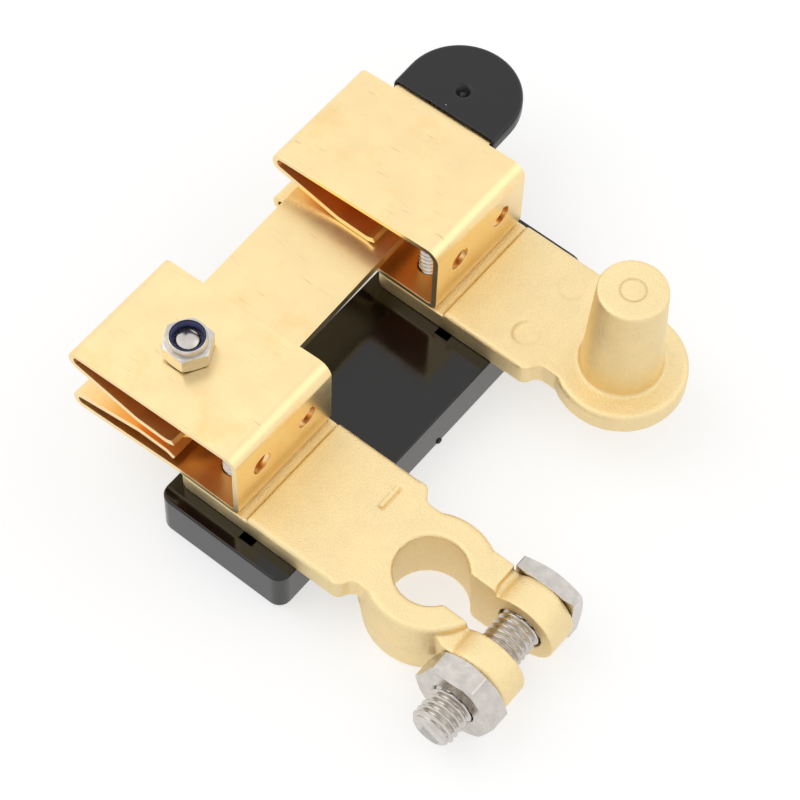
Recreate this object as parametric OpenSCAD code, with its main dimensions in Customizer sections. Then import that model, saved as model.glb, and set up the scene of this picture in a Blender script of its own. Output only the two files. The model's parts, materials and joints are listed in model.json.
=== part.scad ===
// Knife-blade disconnect switch for a battery terminal.
// Two cast terminals sit side by side on an insulating block. One clamps the
// battery post, the other carries a post for the cable clamp. A folded spring
// jaw stands on each, and a flat blade swings from the pivot jaw into the
// contact jaw to close the circuit.
// Millimetres. The origin is on the clamp's bore axis, level with the underside.
// X runs along the terminals towards the posts, Y from the pivot jaw to the
// contact jaw, and Z up.

/* [Layout] */
// Distance between the centre lines of the two terminals
terminal_pitch = 66; // [62:1:76]
// Distance from the back wall of a jaw to the axis of the post or bore
wall_to_post = 39.2; // [36:0.2:48]
// Height of the terminal plates above the surface that the switch stands on
plate_top = 18; // [17:0.5:22]

/* [Cast terminals] */
// Width of a terminal plate
plate_w = 30.6; // [29:0.2:36]
// Thickness of a terminal plate
plate_t = 6; // [5:0.1:8]
// Length of plate behind the back wall of the jaw
tail_len = 17.2; // [15:0.2:20]
// Depth of the seat that the jaw stands in
seat_depth = 1.15; // [0.6:0.05:2]
// Distance from the back wall of the jaw to the edge of its seat
seat_margin = 2.2; // [1:0.1:4]
// Rounding of the plates' upper edges
edge_r = 1.2; // [0.4:0.1:1.8]
// Corner radius at the tail of a plate
tail_r = 3; // [2:0.1:5]
// Half width of the neck between plate and post
neck_half = 12; // [11:0.1:13.5]
// Distance from the post axis to the plate's corner at the post terminal's neck
post_neck = 14.6; // [13.5:0.1:18]
// Distance from the bore axis to the plate's corner at the clamp terminal's neck
clamp_neck = 12.6; // [12:0.1:16]
// Radius of the round flange under the post
flange_r = 14.8; // [14:0.1:18]

/* [Battery post] */
// Diameter of the post at the flange
post_d = 18.1; // [15:0.1:20]
// Height of the post above the flange
post_h = 28; // [16:0.5:32]
// Rounding of the post's upper rim
post_rim = 0.7; // [0.3:0.1:1.5]
// Radius of the flat mark left by the ejector pin on the post's end
pin_mark_r = 2.8; // [1.5:0.1:4]

/* [Clamp ring] */
// Diameter of the clamp's bore at its lower mouth
bore_d = 17.9; // [15:0.1:19]
// Outer radius of the clamp ring
ring_r = 14.2; // [13.5:0.1:18]
// Outward draft of the ring's side between its rims and its parting line
ring_draft = 0.8; // [0.2:0.1:1.2]
// Height of the parting line round the ring
ring_parting = 9; // [5:0.5:12]
// Width of the slot between the clamp's arms
slot_w = 9.2; // [6:0.1:11]
// Height of the arms' upper face under the plates' top
arm_drop = 1.6; // [0.5:0.1:4]
// Fall of the arms' upper face towards the ears, in degrees
arm_slope = 4; // [1:0.5:6]
// Height of the arms' lower face above the underside
arm_bottom = 2.6; // [1.5:0.1:4]
// Radius of the round ears at the arms' ends
ear_r = 8.6; // [8:0.1:10]
// Thickness of the ear that the nut bears on
near_ear_t = 7.3; // [5:0.1:8]
// Thickness of the ear that the bolt's head bears on
far_ear_t = 7.9; // [5:0.1:9]
// Distance from the bore axis to the clamp bolt
bolt_x = 20.1; // [19.8:0.1:26]
// Height of the clamp bolt above the underside
bolt_z = 9.7; // [9.6:0.1:12]
// Length of the cast minus sign
sign_len = 6.2; // [3:0.1:9]
// Breadth of the minus sign's stroke
sign_w = 0.9; // [0.5:0.1:1.5]
// Height of the minus sign's relief
sign_h = 0.35; // [0.2:0.05:0.6]
// Distance from the bore axis back to the minus sign
sign_x = 17.4; // [16:0.1:25]
// Distance from the centre line of the terminal to the middle of the minus sign
sign_y = 8; // [0:0.1:9]

/* [Spring jaws] */
// Width of a jaw
jaw_w = 30.4; // [28:0.2:36]
// Length of a jaw from its back wall to the tip of its folds
jaw_len = 46.2; // [44:0.2:56]
// Height of a jaw above the plates' top, at its back wall
jaw_rise = 20; // [17:0.5:24]
// Thickness of the jaws' sheet
sheet_t = 1.4; // [0.8:0.1:1.8]
// Fall of the upper leaf from the back wall to the folded tip
upper_fall = 3; // [0:0.1:5]
// Fall of the lower leaf from the plate's tail to the folded tip
lower_fall = 2.6; // [0:0.1:3]
// Radius of the folded tips along the middle of the sheet
fold_r = 1.7; // [1:0.1:1.9]
// Radius of the upper corner of the back wall along the middle of the sheet
crown_r = 2.6; // [1:0.1:5]
// Distance from the back wall to the ends of the inner leaves
inner_end = 17.6; // [16:0.1:19]
// Length over which an inner leaf bears on the blade
bearing_len = 8; // [4:0.1:12]
// Lift of the lip at the end of an inner leaf
lip = 0.9; // [0.2:0.1:1.5]
// Diameter of the holes in the back wall
window_d = 5.4; // [3:0.1:7]
// Distance between the two holes in the back wall
window_pitch = 14.4; // [12:0.1:18]
// Height of those holes above the plates' top
window_z = 10.2; // [8:0.1:12]

/* [Blade and grip] */
// Width of the blade
blade_w = 26.3; // [24:0.1:29]
// Thickness of the blade
blade_t = 2.5; // [1.5:0.1:3]
// Height of the blade's underside above the plates' top
blade_z = 5.4; // [4.6:0.1:6.2]
// Distance from the side of the contact jaw to the grip's mouth, along the blade
grip_gap = 6.9; // [2:0.1:12]
// Angle of the closed blade from square, towards the jaws' mouths
blade_angle = 1.3; // [0:0.1:2]
// Diameter of the hole for hanging, under the grip's dimple
hang_hole_d = 5; // [3:0.1:7]
// Length of blade that the grip covers
grip_len = 20.1; // [17:0.1:24]
// Wall of the soft grip
grip_wall = 0.8; // [0.6:0.1:1.2]
// Distance from the end of the blade to the hole for hanging
hang_hole_in = 12.4; // [10:0.1:15]
// Depth of the grip's dimple
dimple = 0.7; // [0.3:0.1:1]

/* [Pivot] */
// Distance from the back wall of the jaw to the pivot
pivot_x = 26; // [24:0.1:28]
// Diameter of the pivot bolt
pivot_d = 6; // [5:0.5:6]
// Width of the pivot bolt's head and locknut across their flats
pivot_af = 10; // [9:0.5:11]
// Thickness of the pivot bolt's head
pivot_head = 4; // [3:0.1:4.2]
// Height of the locknut
locknut_h = 6; // [5:0.1:8]

/* [Clamp bolt] */
// Diameter of the clamp bolt
clamp_d = 10; // [6:0.5:10]
// Side of the clamp bolt's square head
clamp_square = 15; // [14:0.5:16]
// Thickness of the clamp bolt's head
clamp_head = 4; // [3:0.1:6.4]
// Width of the clamp nut across its flats
clamp_af = 18; // [16:0.5:18]
// Height of the clamp nut
clamp_nut_h = 6; // [5:0.1:8]
// Length of thread that stands out of the nut
clamp_tail = 7.6; // [7:0.1:12]

/* [Base and screws] */
// Length of base beyond the centre line of the clamp terminal
base_near = 20.2; // [18:0.1:24]
// Length of base beyond the centre line of the post terminal
base_far = 19.1; // [18:0.1:24]
// Length of base behind the back wall of the jaws
base_back = 18.4; // [17.5:0.1:20]
// Length of base in front of the back wall of the jaws
base_front = 15.6; // [8:0.1:18]
// Corner radius of the base
base_r = 3; // [1:0.1:6]
// Diameter of the jaw screws
screw_d = 5; // [4:0.5:5]
// Distance between the two screws of a jaw
screw_pitch = 14.4; // [12:0.1:18]
// Distance from the back wall of a jaw to its screws
screw_x = 8; // [6:0.1:9]
// Length of the jaw screws under the head
screw_len = 25; // [20:0.5:28]
// Diameter of the jaw screws' heads
screw_head_d = 9.2; // [8:0.1:10]
// Height of the jaw screws' heads
screw_head_h = 3.6; // [2:0.1:4.4]
// Depth at which the screws' heads bear in the base
screw_seat = 5; // [4.6:0.1:7]
// Length of the pockets in the base beside the terminals
pocket_len = 3.6; // [2:0.1:6]
// Width of the part of each pocket that shows beside its terminal
pocket_w = 1.8; // [0.8:0.1:3]

/* [Clearances] */
// Gap on each side between the blade and a leaf
blade_gap = 0.15; // [0.1:0.05:0.3]
// Radial play of the blade on its pivot bolt
pivot_play = 0.05; // [0.02:0.01:0.1]
// Radial clearance of a bolt or screw in its hole
bolt_play = 0.2; // [0.1:0.05:0.4]
// Gap between two parts that are fastened together
seat_gap = 0.05; // [0.02:0.01:0.1]

/* [Hidden] */
$fn = 64;

gold = "#e9cd85";
cast_gold = "#ecd797";
steel = "#cfc9c2";
black = "#2b2927";

wall_x = -wall_to_post;
plate_under = plate_top - plate_t;
seat_z = plate_top - seat_depth;
base_top = plate_under - seat_gap;
tail_x = wall_x - tail_len;
post_taper = 1 / 18;
bore_taper = 1 / 18;
post_top_r = post_d / 2 - post_h * post_taper * 0.85;
bore_top_r = bore_d / 2 - plate_top * bore_taper;
axis_x = wall_x - pivot_x;
grip_mouth = terminal_pitch + jaw_w / 2 + grip_gap;
blade_reach = grip_mouth + grip_len;
hang_y = blade_reach - hang_hole_in;
blade_low = plate_top + blade_z;
blade_high = blade_low + blade_t;
slot_half = slot_w / 2;
near_face = slot_half + near_ear_t;
far_face = slot_half + far_ear_t;
jaw_top = plate_top + jaw_rise;
leaf_low = seat_z + seat_gap + sheet_t / 2;
upper_slope = upper_fall / (jaw_len - crown_r - fold_r);
screw_xy = wall_x - screw_x;
screw_bearing = screw_seat - seat_gap;
square_corner_r = clamp_square * sqrt(2) / 2 - 0.2;

// Vector helpers
function unit(v) = v / norm(v);
function left_of(v) = [-v[1], v[0]];
function xy(p) = [p[0], p[1]];
function turn(a, b, c) = cross(b - a, c - b) >= 0 ? 1 : -1;
function steps(r) = r < 1 ? 2 : r < 5 ? 5 : 16;

// Corner b of the line a, b, c after both edges have moved to the left by d
function moved(a, b, c, d) =
    let (n1 = left_of(unit(b - a)), n2 = left_of(unit(c - b)))
    b + (n1 + n2) * d / (1 + n1 * n2);

// Points of the arc of radius r that rounds corner b
function round_corner(a, b, c, r, n) =
    let (
        u = unit(b - a), v = unit(c - b), s = turn(a, b, c),
        bend = acos(max(-1, min(1, u * v))),
        centre = b - u * r * tan(bend / 2) + left_of(u) * s * r,
        start = -left_of(u) * s, a0 = atan2(start[1], start[0])
    )
    [for (i = [0:n]) centre + r * [cos(a0 + s * bend * i / n), sin(a0 + s * bend * i / n)]];

// Closed outline through corners [x, y, radius], anticlockwise, moved inwards by d
function outline(corners, d = 0) =
    let (
        n = len(corners), p = [for (c = corners) xy(c)],
        q = [for (i = [0:n - 1]) moved(p[(i + n - 1) % n], p[i], p[(i + 1) % n], d)]
    )
    [for (i = [0:n - 1])
        let (s = turn(p[(i + n - 1) % n], p[i], p[(i + 1) % n]), r = corners[i][2])
        each round_corner(q[(i + n - 1) % n], q[i], q[(i + 1) % n], max(0.05, r - s * d), steps(r))];

// Heights and insets of a quarter-round edge at the foot or the head of a slab
function foot_edge(z, r, n) =
    r > 0 ? [for (i = [0:n]) [z + r * (1 - cos(90 * i / n)), r * (1 - sin(90 * i / n))]] : [[z, 0]];
function head_edge(z, r, n) =
    r > 0 ? [for (i = [0:n]) [z - r * (1 - sin(90 * i / n)), r * (1 - cos(90 * i / n))]] : [[z, 0]];

// Slab of a rounded outline with quarter-round lower and upper edges
module slab(corners, z0, z1, low_r, high_r) {
    levels = concat(foot_edge(z0, low_r, 3), head_edge(z1, high_r, 4));
    rings = [for (l = levels) [for (p = outline(corners, l[1])) [p[0], p[1], l[0]]]];
    m = len(rings[0]);
    top = len(levels) - 1;
    polyhedron(
        points = [for (r = rings) each r],
        faces = concat(
            [[for (i = [0:m - 1]) i]],
            [[for (i = [m - 1:-1:0]) top * m + i]],
            [for (k = [0:top - 1], i = [0:m - 1]) [k * m + i, (k + 1) * m + i, (k + 1) * m + (i + 1) % m]],
            [for (k = [0:top - 1], i = [0:m - 1]) [k * m + i, (k + 1) * m + (i + 1) % m, k * m + (i + 1) % m]]
        ),
        convexity = 6
    );
}

// Middle line of a bent sheet through points [x, z, bend radius]
function bent_line(c) =
    let (n = len(c))
    [for (i = [0:n - 1])
        each (i == 0 || i == n - 1 || c[i][2] == 0) ? [xy(c[i])]
            : round_corner(xy(c[i - 1]), xy(c[i]), xy(c[i + 1]), c[i][2], 6)];

// Section of a sheet of thickness t along a middle line
function sheet_side(line, d) =
    let (n = len(line))
    [for (i = [0:n - 1])
        i == 0 ? line[0] + left_of(unit(line[1] - line[0])) * d
        : i == n - 1 ? line[i] + left_of(unit(line[i] - line[i - 1])) * d
        : moved(line[i - 1], line[i], line[i + 1], d)];
function backwards(list) = [for (i = [len(list) - 1:-1:0]) list[i]];
function sheet_section(line, t) = concat(sheet_side(line, t / 2), backwards(sheet_side(line, -t / 2)));

module hex_prism(af, h) {
    cylinder(d = af / cos(30), h = h, $fn = 6);
}

// Hexagon whose corners are chamfered on one end or on both
module chamfered_hex(af, h, foot, head) {
    intersection() {
        hex_prism(af, h);
        rotate_extrude() polygon([
            [0, 0], [af / 2 + (foot ? 0 : 1.2), 0], [af / 2 + 1.2, foot ? 0.7 : 0],
            [af / 2 + 1.2, h - (head ? 0.7 : 0)], [af / 2 + (head ? 0 : 1.2), h], [0, h]
        ]);
    }
}

// Plan of a terminal's plate; its round end lies inside the flange or the ring
function plate_plan(neck) = [
    [tail_x, -plate_w / 2, tail_r], [-neck, -plate_w / 2, 2.4],
    [-neck + 1.6, -neck_half, 2.4], [2, -neck_half, 2], [2, neck_half, 2],
    [-neck + 1.6, neck_half, 2.4], [-neck, plate_w / 2, 2.4],
    [tail_x, plate_w / 2, tail_r]
];

// Plate with bevelled long edges and the sunk seat for the jaw at its tail
module terminal_plate(neck) {
    bevel = edge_r * 0.55;
    difference() {
        translate([0, 0, plate_under]) linear_extrude(plate_t) polygon(outline(plate_plan(neck)));
        translate([tail_x - 1, -plate_w / 2 - 1, seat_z])
            cube([tail_len + 1 + seat_margin, plate_w + 2, plate_top]);
        for (side = [-1, 1]) translate([tail_x - 1, side * plate_w / 2, plate_top])
            rotate([45, 0, 0]) translate([0, -bevel / sqrt(2), -bevel / sqrt(2)])
            cube([tail_len - 1 + wall_to_post - neck, bevel * sqrt(2), bevel * sqrt(2)]);
    }
}

// Half section of a round body's outer side, its upper rim rounded like the plates' edges
function rim_points(r, z) = [for (i = [0:4])
    [r - edge_r * (1 - cos(22.5 * i)), z - edge_r * (1 - sin(22.5 * i))]];

// The two upright holes that the jaw's screws pass through
module screw_holes(z0, z1) {
    for (side = [-1, 1])
        translate([screw_xy, side * screw_pitch / 2, z0])
            cylinder(d = screw_d + 2 * bolt_play, h = z1 - z0, $fn = 32);
}

// Round ear with rounded rims on the given side; its outer face is at y = side * face
module ear(side, face) {
    rim = 1.3;
    y0 = slot_half - 1;
    translate([bolt_x, 0, bolt_z]) rotate([-90 * side, 0, 0]) rotate_extrude()
        polygon(concat(
            [[0, y0], [ear_r, y0]],
            [for (i = [0:4]) [ear_r - rim * (1 - cos(22.5 * i)), face - rim * (1 - sin(22.5 * i))]],
            [[0, face]]
        ));
}

// One arm of the clamp with its ear, on the given side of the slot
module clamp_arm(side, face) {
    arm_top = plate_top - arm_drop;
    difference() {
        translate([0, 0, arm_bottom]) linear_extrude(arm_top - arm_bottom) polygon([
            [4, side * (slot_half - 1)], [bolt_x - 1, side * (slot_half - 1)],
            [bolt_x - 1, side * (face - 0.4)], [ring_r * 0.86, side * (face - 0.4)],
            [ring_r * 0.58, side * ring_r * 0.7], [4, side * ring_r * 0.7]
        ]);
        translate([ring_r * 0.56, -plate_w, arm_top - 0.1]) rotate([0, arm_slope, 0])
            cube([bolt_x, 2 * plate_w, plate_top]);
    }
    ear(side, face);
}

module minus_sign() {
    translate([-sign_x - sign_w / 2, sign_y - sign_len / 2, plate_top - 1])
        cube([sign_w, sign_len, 1 + sign_h]);
}

module clamp_terminal() {
    color(cast_gold) difference() {
        union() {
            terminal_plate(clamp_neck);
            rotate_extrude($fn = 96) polygon(concat(
                [[0, 0], [ring_r - 1.2, 0], [ring_r - 0.4, 0.3], [ring_r, 1.2],
                 [ring_r + ring_draft, ring_parting]],
                rim_points(ring_r, plate_top), [[0, plate_top]]
            ));
            clamp_arm(1, far_face);
            clamp_arm(-1, near_face);
            minus_sign();
        }
        rotate_extrude($fn = 96) polygon([
            [0, -1], [bore_d / 2 + 0.6, -1], [bore_d / 2 + 0.6, 0], [bore_d / 2, 0.6],
            [bore_top_r, plate_top - 0.6], [bore_top_r + 0.6, plate_top],
            [bore_top_r + 0.6, plate_top + 1], [0, plate_top + 1]
        ]);
        translate([3, -slot_half, -1]) cube([bolt_x + ear_r, slot_w, plate_top + 4]);
        translate([bolt_x, -near_face - 1, bolt_z]) rotate([-90, 0, 0])
            cylinder(d = clamp_d + 4 * bolt_play, h = near_face + far_face + 2, $fn = 48);
        screw_holes(plate_under - 1, plate_top + 1);
    }
}

// Flange and post in one turned section
module battery_post() {
    foot = 0.8;
    top = plate_top + post_h;
    rotate_extrude($fn = 96) polygon(concat(
        [[0, plate_under], [flange_r - 0.8, plate_under], [flange_r, plate_under + 0.8]],
        rim_points(flange_r, plate_top),
        [for (i = [0:4]) [
            post_d / 2 + foot * (1 - sin(22.5 * i)), plate_top + foot * (1 - cos(22.5 * i))]],
        [for (i = [0:4]) [
            post_top_r - post_rim * (1 - cos(22.5 * i)), top - post_rim * (1 - sin(22.5 * i))]],
        [[pin_mark_r, top], [pin_mark_r, top - 0.12], [0, top - 0.12]]
    ));
}

module post_terminal() {
    color(cast_gold) translate([0, terminal_pitch, 0]) difference() {
        union() {
            terminal_plate(post_neck);
            battery_post();
        }
        screw_holes(plate_under - 1, plate_top + 1);
    }
}

// Middle line of the jaw's sheet, from the upper inner leaf round to the lower one
function jaw_line() =
    let (
        bear_high = blade_high + blade_gap + sheet_t / 2,
        bear_low = blade_low - blade_gap - sheet_t / 2,
        back = -sheet_t / 2, tip = -jaw_len + sheet_t / 2,
        crown = jaw_top - sheet_t / 2, up_tip = crown - upper_fall, low_tip = leaf_low - lower_fall,
        bear_end = -inner_end - 1.8 - bearing_len
    ) [
        [-inner_end, bear_high + lip, 0], [-inner_end - 1.8, bear_high, 2], [bear_end, bear_high, 6],
        [tip, up_tip - 2 * fold_r, fold_r], [tip, up_tip, fold_r],
        [back, crown, crown_r], [back, leaf_low, 1.3],
        [-tail_len, leaf_low, 6], [tip, low_tip, fold_r], [tip, low_tip + 2 * fold_r, fold_r],
        [bear_end, bear_low, 6], [-inner_end - 1.8, bear_low, 2], [-inner_end, bear_low - lip, 0]
    ];

// Folded spring jaw with its back wall at x = 0 and its middle at y = 0
module spring_jaw() {
    difference() {
        translate([0, jaw_w / 2, 0]) rotate([90, 0, 0])
            linear_extrude(jaw_w) polygon(sheet_section(bent_line(jaw_line()), sheet_t));
        for (side = [-1, 1]) {
            translate([-sheet_t - 1, side * window_pitch / 2, plate_top + window_z])
                rotate([0, 90, 0]) cylinder(d = window_d, h = sheet_t + 2, $fn = 40);
            translate([-screw_x, side * screw_pitch / 2, leaf_low - sheet_t])
                cylinder(d = screw_d + 2 * bolt_play, h = 2 * sheet_t, $fn = 32);
        }
    }
}

module pivot_jaw() {
    color(gold) translate([wall_x, 0, 0]) difference() {
        spring_jaw();
        translate([-pivot_x, 0, plate_under - 2])
            cylinder(d = pivot_d + 2 * bolt_play, h = jaw_top - plate_under + 4, $fn = 40);
    }
}

module contact_jaw() {
    color(gold) translate([wall_x, terminal_pitch, 0]) spring_jaw();
}

// Turns what belongs to the blade about the pivot, out of square by the blade's angle
module at_pivot() {
    translate([axis_x, 0, 0]) rotate([0, 0, blade_angle]) children();
}

// Plan of the blade, or of the grip when grown by a wall
function blade_plan(grow, y0, r0) = let (half = blade_w / 2 + grow, y1 = blade_reach + grow) [
    [-half, y0, r0], [half, y0, r0], [half, y1, half], [-half, y1, half]
];

module switch_blade() {
    color(gold) at_pivot() difference() {
        translate([0, 0, blade_low])
            linear_extrude(blade_t) polygon(outline(blade_plan(0, -blade_w / 2, blade_w / 2)));
        translate([0, 0, blade_low - 1]) cylinder(r = pivot_d / 2 + pivot_play, h = blade_t + 2, $fn = 48);
        translate([0, hang_y, blade_low - 1])
            cylinder(d = hang_hole_d, h = blade_t + 2, $fn = 40);
    }
}

module handle_grip() {
    skin = 0.1;
    color(black) at_pivot() difference() {
        union() {
            difference() {
                slab(blade_plan(grip_wall + skin, grip_mouth, 0.6),
                     blade_low - grip_wall - skin, blade_high + grip_wall + skin, 1, 1);
                translate([0, 0, blade_low - skin]) linear_extrude(blade_t + 2 * skin)
                    polygon(outline(blade_plan(skin, grip_mouth - 5, 0.5)));
                translate([0, grip_mouth, blade_low + blade_t / 2]) rotate([0, 90, 0])
                    translate([0, 0, -blade_w / 2 - skin])
                    linear_extrude(blade_w + 2 * skin)
                    polygon([[-blade_t / 2 - 0.75, -1], [blade_t / 2 + 0.75, -1],
                             [blade_t / 2 + skin, 3], [-blade_t / 2 - skin, 3]]);
            }
            translate([0, hang_y, blade_low - skin - 0.5])
                cylinder(d = hang_hole_d - 0.2, h = blade_t + 2 * skin + 1, $fn = 40);
        }
        for (flip = [0, 1]) translate([0, hang_y, blade_low + blade_t / 2]) mirror([0, 0, flip])
            translate([0, 0, blade_t / 2 + skin + grip_wall - dimple])
                cylinder(r1 = 0.5, r2 = 0.5 + 2 * dimple, h = dimple * 1.1, $fn = 40);
    }
}

// Underside of the lower leaf and top of the upper leaf at the pivot bolt
under_leaf = leaf_low - sheet_t / 2
    - lower_fall * (pivot_x + pivot_af / 2 - tail_len) / (jaw_len - tail_len) - seat_gap;
over_leaf = jaw_top - upper_slope * (pivot_x - crown_r - pivot_af * 0.577) + seat_gap;
pivot_end = over_leaf + locknut_h - 1.6;

module pivot_bolt() {
    color(steel) translate([axis_x, 0, 0]) {
        translate([0, 0, under_leaf - pivot_head]) chamfered_hex(pivot_af, pivot_head, true, false);
        translate([0, 0, under_leaf - 0.5]) cylinder(d = pivot_d, h = pivot_end - 0.6 - under_leaf + 0.5, $fn = 48);
        translate([0, 0, pivot_end - 0.6]) cylinder(d1 = pivot_d, d2 = pivot_d - 1.2, h = 0.6, $fn = 48);
    }
}

// Height inside the locknut at which the insert lies
insert_low = locknut_h - 2.4;
insert_r = pivot_d / 2 + 0.9;

module pivot_locknut() {
    collar_r = pivot_af / 2 - 0.7;
    color(steel) translate([axis_x, 0, over_leaf]) rotate([0, 0, 12]) difference() {
        union() {
            chamfered_hex(pivot_af, locknut_h - 1.7, true, true);
            rotate_extrude() polygon([
                [0, 1], [collar_r, 1], [collar_r, locknut_h - 0.9],
                [collar_r - 0.25, locknut_h - 0.3], [collar_r - 0.8, locknut_h], [0, locknut_h]
            ]);
        }
        translate([0, 0, -1]) cylinder(d = pivot_d + 0.1, h = locknut_h + 2, $fn = 48);
        translate([0, 0, insert_low]) cylinder(r = insert_r, h = locknut_h, $fn = 48);
    }
}

module locknut_insert() {
    color("#1b2566") translate([axis_x, 0, over_leaf + insert_low + 0.02]) difference() {
        cylinder(r = insert_r - 0.02, h = 1.9, $fn = 48);
        translate([0, 0, -1]) cylinder(d = pivot_d + 0.1, h = 4, $fn = 48);
        translate([0, 0, 1.3]) cylinder(d1 = pivot_d + 0.1, d2 = pivot_d + 1.1, h = 0.7, $fn = 48);
    }
}

// Pan-head screw standing up from its bearing in the base
module jaw_screw(side, y) {
    color(steel) translate([screw_xy, y + side * screw_pitch / 2, screw_bearing]) difference() {
        union() {
            translate([0, 0, -screw_head_h]) rotate_extrude() polygon([
                [0, 0], [screw_head_d / 2 - 1.6, 0], [screw_head_d / 2 - 0.6, 0.5],
                [screw_head_d / 2, 1.6], [screw_head_d / 2, screw_head_h], [0, screw_head_h]
            ]);
            cylinder(d = screw_d, h = screw_len - 0.6, $fn = 40);
            translate([0, 0, screw_len - 0.6])
                cylinder(d1 = screw_d, d2 = screw_d - 1.2, h = 0.6, $fn = 40);
        }
        for (a = [0, 90]) rotate([0, 0, a])
            translate([-2.4, -0.5, -screw_head_h - 1]) cube([4.8, 1, 2.8]);
    }
}
module pivot_jaw_screw_front() jaw_screw(-1, 0);
module pivot_jaw_screw_rear() jaw_screw(1, 0);
module contact_jaw_screw_front() jaw_screw(-1, terminal_pitch);
module contact_jaw_screw_rear() jaw_screw(1, terminal_pitch);

// Length of the clamp bolt under its head
bolt_len = far_face + seat_gap + near_face + seat_gap + clamp_nut_h + clamp_tail;

// Square bolt head whose outer corners are chamfered, standing on z = 0
module square_head() {
    chamfer = 1.1;
    face_r = clamp_square / 2 - 0.3;
    intersection() {
        translate([-clamp_square / 2, -clamp_square / 2, 0]) cube([clamp_square, clamp_square, clamp_head]);
        rotate_extrude($fn = 96) polygon([
            [0, 0], [face_r, 0], [square_corner_r, chamfer], [square_corner_r, clamp_head], [0, clamp_head]
        ]);
    }
}

module clamp_bolt() {
    color(steel) translate([bolt_x, far_face + seat_gap, bolt_z]) rotate([90, 0, 0]) {
        translate([0, 0, -clamp_head]) square_head();
        translate([0, 0, -0.5]) cylinder(d = clamp_d, h = bolt_len - 0.5, $fn = 48);
        translate([0, 0, bolt_len - 1]) cylinder(d1 = clamp_d, d2 = clamp_d - 2, h = 1, $fn = 48);
    }
}

module clamp_nut() {
    turned = -6.5;
    color(steel) translate([bolt_x, -near_face - seat_gap, bolt_z]) rotate([90, turned, 0])
        difference() {
            chamfered_hex(clamp_af, clamp_nut_h, true, true);
            translate([0, 0, -1]) cylinder(r = clamp_d / 2 + 0.05, h = clamp_nut_h + 2, $fn = 48);
            translate([0, 0, clamp_nut_h - 0.5])
                cylinder(d1 = clamp_d + 0.1, d2 = clamp_d + 1.3, h = 0.6, $fn = 48);
        }
}

module insulator_base() {
    x0 = wall_x - base_back;
    x1 = wall_x + base_front;
    y1 = terminal_pitch + base_far;
    color(black) difference() {
        slab([[x0, -base_near, base_r], [x1, -base_near, base_r], [x1, y1, base_r], [x0, y1, base_r]],
             0, base_top, 0.7, 0.5);
        for (y = [0, terminal_pitch]) translate([0, y, 0]) {
            screw_holes(-1, base_top + 1);
            for (side = [-1, 1]) translate([screw_xy, side * screw_pitch / 2, -1])
                cylinder(d = screw_head_d + 0.8, h = screw_seat + 1, $fn = 48);
            translate([wall_x + 3.2 - pocket_len / 2, -plate_w / 2 - pocket_w, base_top - 5])
                cube([pocket_len, pocket_w + 3, 6]);
        }
    }
}

insulator_base();
clamp_terminal();
post_terminal();
pivot_jaw();
contact_jaw();
switch_blade();
handle_grip();
pivot_bolt();
pivot_locknut();
locknut_insert();
pivot_jaw_screw_front();
pivot_jaw_screw_rear();
contact_jaw_screw_front();
contact_jaw_screw_rear();
clamp_bolt();
clamp_nut();
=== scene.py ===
"""Looks of a knife-blade battery disconnect switch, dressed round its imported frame."""
import json
import math

import bmesh
import bpy
import numpy as np
from mathutils import Matrix, Vector, noise
from mathutils.bvhtree import BVHTree


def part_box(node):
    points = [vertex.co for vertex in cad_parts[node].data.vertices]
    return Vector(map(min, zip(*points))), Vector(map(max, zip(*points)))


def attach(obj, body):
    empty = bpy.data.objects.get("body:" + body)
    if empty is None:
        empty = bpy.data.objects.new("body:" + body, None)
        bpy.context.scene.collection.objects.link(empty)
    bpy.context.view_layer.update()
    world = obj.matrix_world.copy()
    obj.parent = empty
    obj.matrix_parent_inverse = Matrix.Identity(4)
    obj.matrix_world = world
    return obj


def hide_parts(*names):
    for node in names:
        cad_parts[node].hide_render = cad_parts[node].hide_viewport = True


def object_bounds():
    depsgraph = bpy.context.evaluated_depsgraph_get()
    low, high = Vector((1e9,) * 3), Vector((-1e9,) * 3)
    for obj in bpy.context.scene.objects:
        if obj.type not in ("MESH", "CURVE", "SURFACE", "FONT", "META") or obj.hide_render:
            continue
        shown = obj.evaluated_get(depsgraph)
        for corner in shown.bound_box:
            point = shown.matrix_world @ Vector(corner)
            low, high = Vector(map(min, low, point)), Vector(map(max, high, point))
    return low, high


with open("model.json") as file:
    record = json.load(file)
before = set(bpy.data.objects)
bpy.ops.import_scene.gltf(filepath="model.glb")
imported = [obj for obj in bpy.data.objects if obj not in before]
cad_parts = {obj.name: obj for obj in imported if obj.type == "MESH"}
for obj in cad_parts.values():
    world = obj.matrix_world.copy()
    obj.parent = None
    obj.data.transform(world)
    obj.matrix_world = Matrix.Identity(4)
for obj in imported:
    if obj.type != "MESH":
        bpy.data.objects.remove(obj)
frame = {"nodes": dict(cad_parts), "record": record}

bl_info = {
    "name": "Battery disconnect switch",
    "version": (1, 0, 0),
    "blender": (4, 5, 0),
    "location": "View3D > Sidebar > Switch",
    "description": "Builds the finished pieces of a battery disconnect switch and its studio",
    "category": "Object",
}

MM = 0.001
CAD_BOX = [[float(v) for v in corner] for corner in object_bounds()]
RECORD = frame["record"]
BODY_OF = {node: body for body, nodes in RECORD["behaviour"]["bodies"].items() for node in nodes}

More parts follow.
